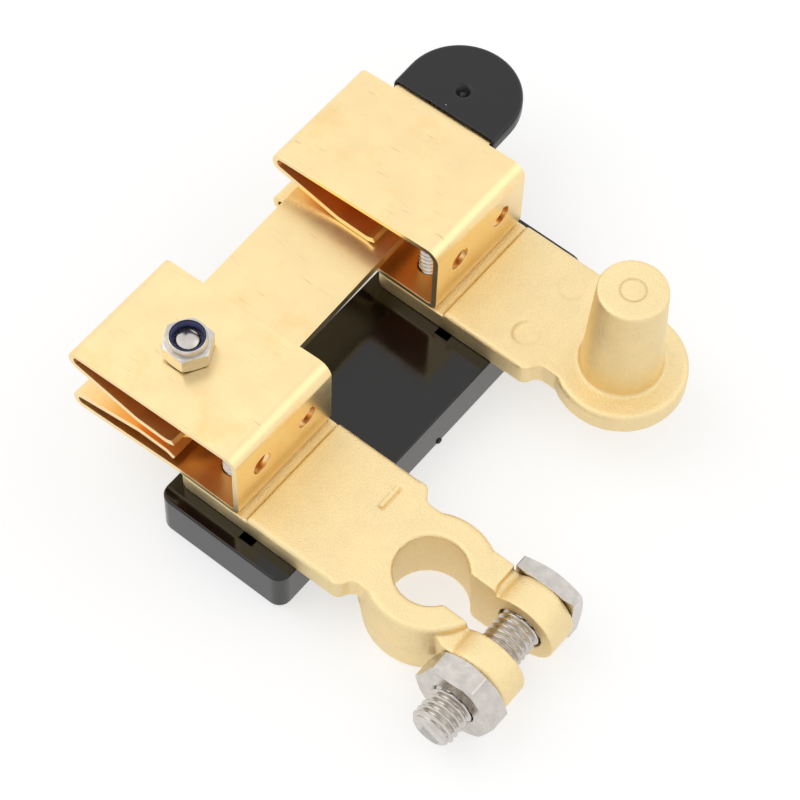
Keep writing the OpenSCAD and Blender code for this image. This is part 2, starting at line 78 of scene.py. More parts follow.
# Places of small features, in millimetres of the shared frame
PLATE_TOP = 18.0
POST_PLACE = (0.0, 66.0)
SIGN_PLACE = (-17.4, 8.0)
SIGN_HALF = (0.45, 3.1)
SIGN_TOP = 18.35
SHOULDER = ((7.0, 5.0, 6.0), (12.6, 12.0, 17.9))
GATE_STUB = ((-23.0, 50.1, 12.2), (-20.0, 51.4, 13.4))
PARTING_HEIGHT = 9.0
PIN_MARKS = ((-20.1, 58.5, 0.25), (-19.6, 74.1, 0.0))
POST_GROOVE_RADIUS = 2.8
FACET_NORMAL = (0.628, 0.778)
FACET_OFFSET = 45.76
BASE_NUB = (-23.6, 33.3, 1.0)
LOCKNUT_TURN = -14


class SwitchSizes(bpy.types.PropertyGroup):
    """Sizes of the fine shapes that the finished pieces add to the frame"""
    cast_cell: bpy.props.FloatProperty(
        name="Cast cell", description="Cell size of the mesh that rounds the castings",
        default=0.33 * MM, min=0.25 * MM, subtype="DISTANCE", unit="LENGTH")
    cast_softness: bpy.props.IntProperty(
        name="Cast softness", description="Smoothing passes that round the edges of the castings",
        default=2, min=0, max=20)
    cast_waviness: bpy.props.FloatProperty(
        name="Cast waviness", description="Depth of the slow unevenness of a cast face",
        default=0.035 * MM, subtype="DISTANCE", unit="LENGTH")
    parting_relief: bpy.props.FloatProperty(
        name="Parting line",
        description="Height of the ridge where the mould's halves met round the ring",
        default=0.12 * MM, subtype="DISTANCE", unit="LENGTH")
    pin_mark_radius: bpy.props.FloatProperty(
        name="Pin mark radius",
        description="Radius of the marks that ejector pins left on the post's plate",
        default=3.0 * MM, subtype="DISTANCE", unit="LENGTH")
    pin_mark_depth: bpy.props.FloatProperty(
        name="Pin mark depth", description="Depth of the ejector pins' marks",
        default=0.1 * MM, subtype="DISTANCE", unit="LENGTH")
    sheet_edge: bpy.props.FloatProperty(
        name="Sheet edge", description="Rounding of the sheared edges of jaws and blade",
        default=0.16 * MM, subtype="DISTANCE", unit="LENGTH")
    steel_edge: bpy.props.FloatProperty(
        name="Steel edge", description="Rounding of the edges of screws, bolts and nuts",
        default=0.14 * MM, subtype="DISTANCE", unit="LENGTH")
    clamp_pitch: bpy.props.FloatProperty(
        name="Clamp bolt pitch", description="Pitch of the clamp bolt's thread",
        default=1.5 * MM, subtype="DISTANCE", unit="LENGTH")
    pivot_pitch: bpy.props.FloatProperty(
        name="Pivot bolt pitch", description="Pitch of the pivot bolt's thread",
        default=1.0 * MM, subtype="DISTANCE", unit="LENGTH")
    screw_pitch: bpy.props.FloatProperty(
        name="Jaw screw pitch", description="Pitch of the jaw screws' thread",
        default=1.4 * MM, subtype="DISTANCE", unit="LENGTH")
    grip_cell: bpy.props.FloatProperty(
        name="Grip cell", description="Cell size of the mesh that rounds the grip",
        default=0.3 * MM, min=0.2 * MM, subtype="DISTANCE", unit="LENGTH")
    dimple_depth: bpy.props.FloatProperty(
        name="Dimple depth", description="Depth of the grip's dimple over the blade's hole",
        default=1.5 * MM, subtype="DISTANCE", unit="LENGTH")
    dimple_radius: bpy.props.FloatProperty(
        name="Dimple radius", description="Radius of the dimple's rim",
        default=2.1 * MM, subtype="DISTANCE", unit="LENGTH")


class SwitchColours(bpy.types.PropertyGroup):
    """Colours of the finishes"""
    cast: bpy.props.FloatVectorProperty(
        name="Cast plating", description="Pale yellow plating of the two castings",
        default=(0.93, 0.75, 0.42), size=3, subtype="COLOR", min=0, max=1)
    sheet: bpy.props.FloatVectorProperty(
        name="Sheet plating", description="Yellow plating of the jaws and the blade",
        default=(0.975, 0.765, 0.41), size=3, subtype="COLOR", min=0, max=1)
    # This orange colours random stains on the sheet and the bounce light painted inside the folded jaws.
    inside: bpy.props.FloatVectorProperty(
        name="Inside of the folds",
        description="Orange of random stains on the sheet, and of the bounce light painted inside the folded jaws",
        default=(1.0, 0.5, 0.1), size=3, subtype="COLOR", min=0, max=1)
    # This brown colours the specks, the blade's rubbed band and the shade painted into the castings'
    # corners and grooves.
    tarnish_and_painted_shade: bpy.props.FloatVectorProperty(
        name="Tarnish and painted shade", description="Brown of worn and weathered plating, and of the shade painted into the castings' corners and grooves",
        default=(0.42, 0.25, 0.09), size=3, subtype="COLOR", min=0, max=1)
    moulding: bpy.props.FloatVectorProperty(
        name="Black moulding", description="Black of the insulating block",
        default=(0.006, 0.0055, 0.005), size=3, subtype="COLOR", min=0, max=1)
    grip: bpy.props.FloatVectorProperty(
        name="Grip", description="Black of the soft grip",
        default=(0.005, 0.005, 0.0052), size=3, subtype="COLOR", min=0, max=1)
    dust: bpy.props.FloatVectorProperty(
        name="Dust", description="Pale specks of dust on the black parts",
        default=(0.45, 0.44, 0.42), size=3, subtype="COLOR", min=0, max=1)
    steel: bpy.props.FloatVectorProperty(
        name="Steel", description="Bright steel of the bolts, nuts and screws",
        default=(0.66, 0.62, 0.575), size=3, subtype="COLOR", min=0, max=1)
    nylon: bpy.props.FloatVectorProperty(
        name="Nylon", description="Blue of the locknut's insert",
        default=(0.014, 0.018, 0.085), size=3, subtype="COLOR", min=0, max=1)


class StudioSettings(bpy.types.PropertyGroup):
    """The camera of the photograph and the light round the object"""
    azimuth: bpy.props.FloatProperty(
        name="Azimuth", description="Turn of the camera from the front towards the right",
        default=math.radians(36.509), subtype="ANGLE", unit="ROTATION")
    elevation: bpy.props.FloatProperty(
        name="Elevation", description="Height of the camera above the horizon",
        default=math.radians(59.022), subtype="ANGLE", unit="ROTATION")
    roll: bpy.props.FloatProperty(
        name="Roll", description="Turn of the camera about its own axis",
        default=math.radians(2.719), subtype="ANGLE", unit="ROTATION")
    aim: bpy.props.FloatVectorProperty(
        name="Aim", description="Point in the middle of the picture",
        default=(-30.58 * MM, 27.77 * MM, 18.0 * MM), size=3, subtype="XYZ", unit="LENGTH")
    distance: bpy.props.FloatProperty(
        name="Distance", description="Distance of the camera from that point",
        default=0.61108, subtype="DISTANCE", unit="LENGTH")
    lens: bpy.props.FloatProperty(
        name="Lens", description="Focal length in millimetres on a sensor 36 mm wide",
        default=128.709, min=20)
    soft_light: bpy.props.FloatProperty(
        name="Soft light", description="Brightness of the light that comes from all round",
        default=0.62, min=0, max=1)
    floor_glow: bpy.props.FloatProperty(
        name="Floor glow",
        description="Brightness added to the floor so that it meets the white background",
        default=0.62, min=0, max=1)


def settings(name):
    """One of the groups of settings kept with the scene."""
    return getattr(bpy.context.scene, name)


# Meshes

def new_piece(name, mesh):
    """A new object in the scene that shows the mesh."""
    piece = bpy.data.objects.new(name, mesh)
    bpy.context.scene.collection.objects.link(piece)
    return piece


def open_mesh(mesh):
    """A BMesh made from a mesh."""
    shape = bmesh.new()
    shape.from_mesh(mesh)
    return shape


def close_mesh(shape, mesh):
    """Write a BMesh into a mesh and free it."""
    bmesh.ops.recalc_face_normals(shape, faces=shape.faces)
    shape.to_mesh(mesh)
    shape.free()
    mesh.update()
    return mesh


def copy_of(node, name):
    """A welded copy of a frame node with its flat faces made whole again."""
    mesh = frame["nodes"][node].data.copy()
    mesh.name = name
    mesh.materials.clear()
    for attribute in ("custom_normal", "sharp_edge", "sharp_face"):
        if attribute in mesh.attributes:
            mesh.attributes.remove(mesh.attributes[attribute])
    shape = open_mesh(mesh)
    bmesh.ops.remove_doubles(shape, verts=shape.verts, dist=0.002 * MM)
    bmesh.ops.dissolve_limit(
        shape, angle_limit=math.radians(0.3), verts=shape.verts, edges=shape.edges)
    close_mesh(shape, mesh)
    return new_piece(name, mesh)


def settle(piece):
    """Turn what the piece's modifiers make into its own mesh."""
    graph = bpy.context.evaluated_depsgraph_get()
    mesh = bpy.data.meshes.new_from_object(piece.evaluated_get(graph))
    mesh.name = piece.name
    piece.modifiers.clear()
    piece.data = mesh
    return piece


def shade(piece, angle=35):
    """Smooth shading that keeps the edges sharper than the angle."""
    mesh = piece.data
    mesh.shade_smooth()
    mesh.set_sharp_from_angle(angle=math.radians(angle))


def round_edges(piece, width, segments=3, angle=38):
    """Round the piece's sharp edges and settle the result."""
    bevel = piece.modifiers.new("Rounded edges", "BEVEL")
    bevel.width = width
    bevel.segments = segments
    bevel.limit_method = "ANGLE"
    bevel.angle_limit = math.radians(angle)
    bevel.harden_normals = False
    bevel.use_clamp_overlap = True
    settle(piece)
    shade(piece)
    weighted = piece.modifiers.new("Even normals", "WEIGHTED_NORMAL")
    weighted.keep_sharp = True
    return settle(piece)


def soften(piece, cell, passes):
    """Rebuild the piece from small cells and smooth it, as a cast or moulded skin."""
    remesh = piece.modifiers.new("Cells", "REMESH")
    remesh.mode = "VOXEL"
    remesh.voxel_size = cell
    remesh.adaptivity = 0
    smooth = piece.modifiers.new("Soft edges", "SMOOTH")
    smooth.factor = 0.5
    smooth.iterations = passes
    settle(piece)
    piece.data.shade_smooth()
    return piece


def add_block(shape, low, high):
    """Add a box between two corners to a BMesh."""
    low, high = Vector(low), Vector(high)
    place = Matrix.Translation((low + high) / 2) @ Matrix.Diagonal((high - low).to_4d())
    bmesh.ops.create_cube(shape, size=1, matrix=place)


def points_of(mesh):
    """The mesh's points as an array of rows."""
    flat = np.zeros(len(mesh.vertices) * 3, np.float32)
    mesh.vertices.foreach_get("co", flat)
    return flat.reshape(-1, 3)


def move_points(mesh, points):
    """Put the mesh's points where the rows of the array say."""
    mesh.vertices.foreach_set("co", points.astype(np.float32).ravel())
    mesh.update()


def normals_of(mesh):
    """The mesh's point normals as an array of rows."""
    flat = np.zeros(len(mesh.vertices) * 3, np.float32)
    mesh.vertices.foreach_get("normal", flat)
    return flat.reshape(-1, 3)


def unevenness(points, size):
    """Slow noise between about -1 and 1 at each point, with features of the given size."""
    return np.array([noise.noise(Vector(p) / size) for p in points.tolist()], np.float32)


def finish_piece(piece, material, nodes):
    """Give the piece its material, hang it on its body and hide the frame's nodes that it stands for,
    which take the same material.
    """
    piece.data.materials.clear()
    piece.data.materials.append(material)
    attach(piece, BODY_OF[nodes[0]])
    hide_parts(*nodes)
    for node in nodes:
        cad = frame["nodes"][node].data
        cad.materials.clear()
        cad.materials.append(material)
    return piece


def mark_enclosed(piece, reach):
    """Keep on each face how much of what it looks at is the piece itself; the share sets the painted
    bounce light.
    """
    mesh = piece.data
    shape = open_mesh(mesh)
    tree = BVHTree.FromBMesh(shape)
    shares = []
    for face in shape.faces:
        start = face.calc_center_median() + face.normal * 0.05 * MM
        across = face.normal.orthogonal().normalized()
        beyond = face.normal.cross(across)
        hits = 0
        for step in range(12):
            angle = step * math.pi / 6
            lean = 0.35 + 0.35 * (step % 3)
            ray = face.normal + (across * math.cos(angle) + beyond * math.sin(angle)) * lean
            hits += tree.ray_cast(start, ray.normalized(), reach)[0] is not None
        shares.append(hits / 12)
    shape.free()
    attribute = mesh.attributes.new("enclosed", "FLOAT", "FACE")
    attribute.data.foreach_set("value", shares)


# Threads

def thread_points(radius, pitch, length, taper):
    """Rows of points of a threaded rod that stands on the origin, and the count in a row."""
    around = 40
    rows_a_turn = 10
    crest = 0.14
    flank = 0.74
    depth = min(0.6 * pitch, 0.24 * radius)
    rows = int(length / pitch * rows_a_turn) + 1
    points = []
    for row in range(rows + 1):
        z = length * row / rows
        tip = max(0.0, z - (length - taper))
        for step in range(around):
            angle = 2 * math.pi * step / around
            phase = (z / pitch - step / around) % 1.0
            cut = min(1.0, max(0.0, (abs(2 * phase - 1) - crest) / flank))
            r = min(radius - depth * cut, radius - 0.9 * tip)
            points.append((r * math.cos(angle), r * math.sin(angle), z))
    return points, around


def threaded_rod(shape, radius, pitch, length, taper, place):
    """Add a threaded rod with closed ends to a BMesh."""
    points, around = thread_points(radius, pitch, length, taper)
    verts = [shape.verts.new(place @ Vector(p)) for p in points]
    rows = len(verts) // around
    for row in range(rows - 1):
        for step in range(around):
            a = row * around + step
            b = row * around + (step + 1) % around
            shape.faces.new((verts[a], verts[b], verts[b + around], verts[a + around]))
    shape.faces.new(verts[:around][::-1])
    shape.faces.new(verts[-around:])


def keep_side(shape, point, normal):
    """Cut a BMesh at a plane, drop what the normal points to and close the cut."""
    geometry = shape.verts[:] + shape.edges[:] + shape.faces[:]
    cut = bmesh.ops.bisect_plane(
        shape, geom=geometry, plane_co=point, plane_no=normal, clear_outer=True, dist=0.001 * MM)
    rim = [item for item in cut["geom_cut"] if isinstance(item, bmesh.types.BMEdge)]
    bmesh.ops.holes_fill(shape, edges=rim)


def bolt_with_thread(node, name, head, radius, pitch, taper, axis):
    """A bolt whose head comes from the frame and whose rod is threaded.

    The axis points from the head to the tip, and head is the head's thickness."""
    low, high = (Vector(corner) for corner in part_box(node))
    axis = Vector(axis)
    span = abs((high - low).dot(axis))
    middle = (low + high) / 2
    start = middle - axis * span / 2
    under = start + axis * head
    piece = copy_of(node, name)
    shape = open_mesh(piece.data)
    keep_side(shape, under, axis)
    close_mesh(shape, piece.data)
    round_edges(piece, settings("switch_sizes").steel_edge, 2)
    shape = open_mesh(piece.data)
    turn = Vector((0, 0, 1)).rotation_difference(axis).to_matrix().to_4x4()
    centre = head_centre(node, middle, axis)
    sunk = 0.3 * MM
    place = Matrix.Translation(centre + axis * (under - axis * sunk).dot(axis)) @ turn
    threaded_rod(shape, radius, pitch, span - head + sunk, taper, place)
    close_mesh(shape, piece.data)
    shade(piece, 38)
    return piece


def head_centre(node, middle, axis):
    """The part of the middle point that lies across the axis."""
    return middle - axis * middle.dot(axis)


# Shader nodes

def new_group(name, inputs, outputs):
    """An empty shader node group with float or vector inputs and float outputs."""
    group = bpy.data.node_groups.new(name, "ShaderNodeTree")
    for label, kind, value in inputs:
        socket = group.interface.new_socket(name=label, in_out="INPUT", socket_type=kind)
        if value is not None:
            socket.default_value = value
    for label in outputs:
        group.interface.new_socket(name=label, in_out="OUTPUT", socket_type="NodeSocketFloat")
    source = group.nodes.new("NodeGroupInput")
    sink = group.nodes.new("NodeGroupOutput")
    return group, source, sink


def add_node(tree, kind, **inputs):
    """Add a node and set or link its inputs, named with underscores for spaces."""
    node = tree.nodes.new(kind)
    for label, value in inputs.items():
        socket = node.inputs[label.replace("_", " ")]
        if isinstance(value, bpy.types.NodeSocket):
            tree.links.new(value, socket)
        else:
            socket.default_value = value
    return node


def calculate(tree, operation, a, b=None, c=None, clamp=False):
    """Add a math node and return its result."""
    node = tree.nodes.new("ShaderNodeMath")
    node.operation = operation
    node.use_clamp = clamp
    for socket, value in zip(node.inputs, (a, b, c)):
        if isinstance(value, bpy.types.NodeSocket):
            tree.links.new(value, socket)
        elif value is not None:
            socket.default_value = value
    return node.outputs[0]


def stretch(tree, value, low, high, out_low=0.0, out_high=1.0):
    """Map a value from one range to another and clamp it."""
    node = add_node(tree, "ShaderNodeMapRange", Value=value)
    node.inputs["From Min"].default_value = low
    node.inputs["From Max"].default_value = high
    node.inputs["To Min"].default_value = out_low
    node.inputs["To Max"].default_value = out_high
    return node.outputs["Result"]


def mix_colours(tree, factor, a, b):
    """Mix two colours by a factor and return the result."""
    node = tree.nodes.new("ShaderNodeMix")
    node.data_type = "RGBA"
    for socket, value in ((node.inputs[0], factor), (node.inputs[6], a), (node.inputs[7], b)):
        if isinstance(value, bpy.types.NodeSocket):
            tree.links.new(value, socket)
        else:
            socket.default_value = value
    return node.outputs[2]


def noise_value(tree, position, size, detail=3.0, roughness=0.55):
    """Noise with features of about the given size in metres."""
    node = add_node(
        tree, "ShaderNodeTexNoise", Vector=position, Scale=1 / size, Detail=detail,
        Roughness=roughness)
    return node.outputs[0]


def sand_grain_group():
    """Grain that a sand-like mould leaves on a cast face."""
    group, source, sink = new_group(
        "Sand grain", [("Position", "NodeSocketVector", None), ("Grain", "NodeSocketFloat", 0.0003)],
        ["Height", "Mottle"])
    position = source.outputs["Position"]
    scale = calculate(group, "DIVIDE", 1.0, source.outputs["Grain"])
    fine = add_node(
        group, "ShaderNodeTexNoise", Vector=position, Scale=scale, Detail=3.0, Roughness=0.6)
    pits = add_node(group, "ShaderNodeTexVoronoi", Vector=position, Scale=scale)
    height = calculate(group, "MULTIPLY_ADD", pits.outputs["Distance"], 0.35, fine.outputs[0])
    group.links.new(height, sink.inputs["Height"])
    group.links.new(noise_value(group, position, 7 * MM, 4.0), sink.inputs["Mottle"])
    return group


def fine_marks_group():
    """Thin straight marks of handling, as a mask."""
    group, source, sink = new_group(
        "Fine marks", [("Position", "NodeSocketVector", None), ("Amount", "NodeSocketFloat", 0.5)],
        ["Marks"])
    total = None
    for turn, run in ((25, 0.05), (-52, 0.08)):
        place = add_node(group, "ShaderNodeMapping", Vector=source.outputs["Position"])
        place.inputs["Rotation"].default_value = (0, 0, math.radians(turn))
        place.inputs["Scale"].default_value = (run, 1, 1)
        lines = noise_value(group, place.outputs[0], 0.55 * MM, 2.0)
        line = stretch(group, lines, 0.66, 0.74)
        total = line if total is None else calculate(group, "MAXIMUM", total, line)
    breaks = stretch(group, noise_value(group, source.outputs["Position"], 5 * MM), 0.42, 0.62)
    broken = calculate(group, "MULTIPLY", total, breaks)
    marks = calculate(group, "MULTIPLY", broken, source.outputs["Amount"])
    group.links.new(marks, sink.inputs["Marks"])
    return group


def specks_group():
    """Sparse round specks, as a mask."""
    group, source, sink = new_group(
        "Specks",
        [("Position", "NodeSocketVector", None), ("Spacing", "NodeSocketFloat", 0.002),
         ("Share", "NodeSocketFloat", 0.1), ("Size", "NodeSocketFloat", 0.06)],
        ["Mask"])
    scale = calculate(group, "DIVIDE", 1.0, source.outputs["Spacing"])
    cells = add_node(group, "ShaderNodeTexVoronoi", Vector=source.outputs["Position"], Scale=scale)
    parts = add_node(group, "ShaderNodeSeparateColor", Color=cells.outputs["Color"])
    chosen = calculate(group, "LESS_THAN", parts.outputs[0], source.outputs["Share"])
    near = calculate(group, "LESS_THAN", cells.outputs["Distance"], source.outputs["Size"])
    group.links.new(calculate(group, "MULTIPLY", chosen, near), sink.inputs["Mask"])
    return group


GROUP_MAKERS = {
    "Sand grain": sand_grain_group, "Fine marks": fine_marks_group, "Specks": specks_group}


def place_group(tree, name, position, **values):
    """Place one of the shared groups in a material."""
    node = tree.nodes.new("ShaderNodeGroup")
    node.node_tree = bpy.data.node_groups.get(name) or GROUP_MAKERS[name]()
    tree.links.new(position, node.inputs["Position"])
    for label, value in values.items():
        node.inputs[label].default_value = value
    return node


def start_material(name, colour, metallic, roughness):
    """A material with a Principled shader, and the position it reads its patterns from."""
    material = bpy.data.materials.new(name)
    material.use_nodes = True
    material.diffuse_color = (*colour, 1)
    tree = material.node_tree
    shader = tree.nodes["Principled BSDF"]
    shader.inputs["Base Color"].default_value = (*colour, 1)
    shader.inputs["Metallic"].default_value = metallic
    shader.inputs["Roughness"].default_value = roughness
    position = tree.nodes.new("ShaderNodeTexCoord").outputs["Object"]
    return material, tree, shader, position


def bump(tree, shader, height, distance, strength=1.0):
    """Feed a height into the shader's normal."""
    node = add_node(tree, "ShaderNodeBump", Height=height)
    node.inputs["Distance"].default_value = distance
    node.inputs["Strength"].default_value = strength
    tree.links.new(node.outputs["Normal"], shader.inputs["Normal"])


def shaded(colour, share):
    """The colour times a share, with full alpha."""
    return (*(channel * share for channel in colour), 1)


def hollows(tree, low, high):
    """Mask of the hollow corners of a dense mesh."""
    geometry = tree.nodes.new("ShaderNodeNewGeometry")
    return stretch(tree, geometry.outputs["Pointiness"], high, low)


def cast_material():
    """Pale satin plating over a grainy casting, with shade painted brown into its corners and grooves.
    """
    colours = settings("switch_colours")
    material, tree, shader, position = start_material("Plated casting", colours.cast, 1.0, 0.46)
    grain = place_group(tree, "Sand grain", position, Grain=0.00034)
    mottled = mix_colours(
        tree, stretch(tree, grain.outputs["Mottle"], 0.35, 0.68),
        shaded(colours.cast, 0.95), shaded(colours.cast, 1.03))
    pitted = stretch(tree, grain.outputs["Height"], 0.72, 0.5, 0.0, 0.4)
    mottled = mix_colours(tree, pitted, mottled, shaded(colours.cast, 0.84))
    # Painted shade: the hollow corners, the grooves and the pin marks are mixed up to half way towards
    # the brown.
    painted_groove_shade = tree.nodes.new("ShaderNodeAttribute")
    painted_groove_shade.attribute_name = "painted_groove_shade"
    hidden = calculate(tree, "MAXIMUM", hollows(tree, 0.44, 0.49), painted_groove_shade.outputs["Fac"])
    corner = calculate(tree, "MULTIPLY", hidden, 0.5)
    with_painted_shade = mix_colours(tree, corner, mottled, (*colours.tarnish_and_painted_shade, 1))
    specks = place_group(tree, "Specks", position, Spacing=0.007, Share=0.12, Size=0.03)
    spotted = mix_colours(
        tree, calculate(tree, "MULTIPLY", specks.outputs["Mask"], 0.6), with_painted_shade, (*colours.tarnish_and_painted_shade, 1))
    tree.links.new(spotted, shader.inputs["Base Color"])
    rough = stretch(tree, grain.outputs["Mottle"], 0.3, 0.7, 0.42, 0.52)
    tree.links.new(rough, shader.inputs["Roughness"])
    bump(tree, shader, grain.outputs["Height"], 0.15 * MM, 0.85)
    return material


def sheet_material(name="Plated sheet", wear=None):
    """Smoother satin plating with fine marks and orange bounce light painted inside the folds; wear may
    add a mask of rubbed plating.
    """
    colours = settings("switch_colours")
    material, tree, shader, position = start_material(name, colours.sheet, 1.0, 0.34)
    grain = place_group(tree, "Sand grain", position, Grain=0.0005)
    marks = place_group(tree, "Fine marks", position, Amount=0.8)
    mottled = mix_colours(
        tree, stretch(tree, grain.outputs["Mottle"], 0.32, 0.7),
        shaded(colours.sheet, 0.96), shaded(colours.sheet, 1.02))
    stain = stretch(tree, noise_value(tree, position, 11 * MM, 6.0, 0.68), 0.53, 0.74, 0.0, 0.34)
    stained = mix_colours(tree, stain, mottled, (*colours.inside, 1))
    marked = mix_colours(tree, marks.outputs["Marks"], stained, shaded(colours.sheet, 0.72))
    # Painted bounce light: faces that look at the jaw itself, further in from the mouth, turn deeper
    # orange.
    hidden = tree.nodes.new("ShaderNodeAttribute")
    hidden.attribute_name = "enclosed"
    axes = add_node(tree, "ShaderNodeSeparateXYZ", Vector=position)
    mouth = CAD_BOX[0][0]
    inward = stretch(tree, axes.outputs["X"], mouth + 1.5 * MM, mouth + 11 * MM, 0.2, 0.8)
    deep = calculate(tree, "MULTIPLY", hidden.outputs["Fac"], inward)
    marked = mix_colours(tree, deep, marked, (*colours.inside, 1))
    rough = stretch(tree, grain.outputs["Mottle"], 0.3, 0.7, 0.29, 0.37)
    if wear is not None:
        mask = wear(tree, position)
        marked = mix_colours(tree, mask, marked, (*colours.tarnish_and_painted_shade, 1))
        rough = calculate(tree, "MULTIPLY_ADD", mask, 0.2, rough)
    tree.links.new(marked, shader.inputs["Base Color"])
    tree.links.new(rough, shader.inputs["Roughness"])
    bump(tree, shader, grain.outputs["Height"], 0.02 * MM, 0.45)
    return material


def blade_wear(tree, position):
    """Mask of the speckled band that the contact jaw's leaves have rubbed on the blade."""
    axes = add_node(tree, "ShaderNodeSeparateXYZ", Vector=position)
    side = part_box("contact_jaw")[0][1]
    along = calculate(tree, "SUBTRACT", axes.outputs["Y"], float(side) - 2.2 * MM)
    band = stretch(tree, calculate(tree, "ABSOLUTE", along), 3.0 * MM, 0.4 * MM)
    speckle = stretch(tree, noise_value(tree, position, 0.6 * MM, 5.0, 0.75), 0.4, 0.7)
    patches = stretch(tree, noise_value(tree, position, 6 * MM), 0.36, 0.6, 0.25, 1.0)
    return calculate(
        tree, "MULTIPLY", calculate(tree, "MULTIPLY", band, speckle), calculate(
            tree, "MULTIPLY", patches, 0.6))


def steel_material():
    """Bright steel with faint turned and rolled marks."""
    colours = settings("switch_colours")
    material, tree, shader, position = start_material("Bright steel", colours.steel, 1.0, 0.24)
    marks = place_group(tree, "Fine marks", position, Amount=0.4)
    cloud = noise_value(tree, position, 2.5 * MM, 4.0)
    base = mix_colours(
        tree, stretch(tree, cloud, 0.35, 0.68),
        shaded(colours.steel, 0.86), shaded(colours.steel, 1.06))
    tree.links.new(
        mix_colours(tree, marks.outputs["Marks"], base, shaded(colours.steel, 0.7)),
        shader.inputs["Base Color"])
    tree.links.new(stretch(tree, cloud, 0.3, 0.7, 0.18, 0.3), shader.inputs["Roughness"])
    bump(tree, shader, noise_value(tree, position, 0.3 * MM), 0.01 * MM, 0.3)
    return material


def black_material(name, colour, roughness, waviness, spacing, share):
    """A black plastic or rubber with sparse dust on it."""
    colours = settings("switch_colours")
    material, tree, shader, position = start_material(name, colour, 0.0, roughness)
    shader.inputs["IOR"].default_value = 1.5
    specks = place_group(tree, "Specks", position, Spacing=spacing, Share=share, Size=0.055)
    tree.links.new(
        mix_colours(tree, specks.outputs["Mask"], (*colour, 1), (*colours.dust, 1)),
        shader.inputs["Base Color"])
    cloud = noise_value(tree, position, 4 * MM, 4.0)
    rough = stretch(tree, cloud, 0.3, 0.7, roughness * 0.85, roughness * 1.25)
    tree.links.new(rough, shader.inputs["Roughness"])
    bump(tree, shader, cloud, waviness, 0.5)
    return material


def nylon_material():
    """Dark blue nylon."""
    colour = settings("switch_colours").nylon
    material, tree, shader, position = start_material("Blue nylon", colour, 0.0, 0.38)
    cloud = noise_value(tree, position, 1.2 * MM)
    base = mix_colours(
        tree, stretch(tree, cloud, 0.3, 0.7), shaded(colour, 0.8), shaded(colour, 1.25))
    tree.links.new(base, shader.inputs["Base Color"])
    return material


def material_named(name):
    """The finish of that name, made when it is first asked for."""
    colours = settings("switch_colours")
    makers = {
        "Plated casting": cast_material,
        "Plated sheet": sheet_material,
        "Plated blade": lambda: sheet_material("Plated blade", blade_wear),
        "Bright steel": steel_material,
        "Gloss moulding": lambda: black_material(
            "Gloss moulding", colours.moulding, 0.11, 0.02 * MM, 0.009, 0.12),
        "Soft grip": lambda: black_material(
            "Soft grip", colours.grip, 0.34, 0.03 * MM, 0.004, 0.14),
        "Blue nylon": nylon_material,
    }
    return bpy.data.materials.get(name) or makers[name]()


# Pieces

def keep_in_box(points, node):
    """The points, with none outside the node's own box."""
    low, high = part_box(node)
    return np.clip(points, np.array(low), np.array(high))


def cast_skin(node, name, block):
    """A casting: the node and one more block under a soft, slightly uneven skin."""
    sizes = settings("switch_sizes")
    piece = copy_of(node, name)
    shape = open_mesh(piece.data)
    low, high = (Vector(corner) * MM for corner in block)
    add_block(shape, low, high)
    close_mesh(shape, piece.data)
    soften(piece, sizes.cast_cell, sizes.cast_softness)
    points = points_of(piece.data)
    wave = unevenness(points, 3.2 * MM) * 0.6 + unevenness(points, 1.1 * MM) * 0.4
    points = points + normals_of(piece.data) * (wave * sizes.cast_waviness)[:, None]
    move_points(piece.data, keep_in_box(points, node))
    return piece


def add_parting_line(piece):
    """Raise the mould's parting line round the clamp ring."""
    sizes = settings("switch_sizes")
    points = points_of(piece.data)
    radius = np.hypot(points[:, 0], points[:, 1])
    on_side = (radius > 13.4 * MM) & (points[:, 0] < 8 * MM)
    drift = unevenness(points, 6 * MM) * 0.5 * MM
    above = points[:, 2] - PARTING_HEIGHT * MM - drift
    near = np.exp(-((above / (0.28 * MM)) ** 2)) * on_side
    out = points[:, :2] / np.maximum(radius, MM)[:, None]
    points[:, :2] += out * (near * sizes.parting_relief)[:, None]
    move_points(piece.data, points)


def join_shape(piece, extra):
    """Add a closed BMesh with flat faces to the piece, and free it."""
    for face in extra.faces:
        face.smooth = False
    loose = bpy.data.meshes.new("extra")
    extra.to_mesh(loose)
    extra.free()
    shape = open_mesh(piece.data)
    shape.from_mesh(loose)
    close_mesh(shape, piece.data)
    bpy.data.meshes.remove(loose)


def add_minus_sign(piece):
    """Set the raised minus sign crisply on the plate."""
    margin, sunk = 0.4 * MM, 0.18 * MM
    x, y = (value * MM for value in SIGN_PLACE)
    half_width, half_length = (value * MM for value in SIGN_HALF)
    points = points_of(piece.data)
    near = np.abs(points[:, 0] - x) < half_width + margin
    near &= np.abs(points[:, 1] - y) < half_length + margin
    points[near & (points[:, 2] > PLATE_TOP * MM - 0.2 * MM), 2] = PLATE_TOP * MM - sunk
    move_points(piece.data, points)
    block = bmesh.new()
    add_block(
        block, (x - half_width, y - half_length, PLATE_TOP * MM - 0.6 * MM),
        (x + half_width, y + half_length, SIGN_TOP * MM))
    bmesh.ops.bevel(block, geom=block.edges[:], offset=0.1 * MM, segments=2, affect="EDGES")
    join_shape(piece, block)


def add_painted_groove_shade(piece, values):
    """Add to the mask of shade painted into the casting's grooves and pin marks."""
    mesh = piece.data
    painted_groove_shade = mesh.attributes.get("painted_groove_shade") or mesh.attributes.new("painted_groove_shade", "FLOAT", "POINT")
    held = np.zeros(len(mesh.vertices), np.float32)
    painted_groove_shade.data.foreach_get("value", held)
    painted_groove_shade.data.foreach_set("value", np.clip(held + values, 0, 1).astype(np.float32))


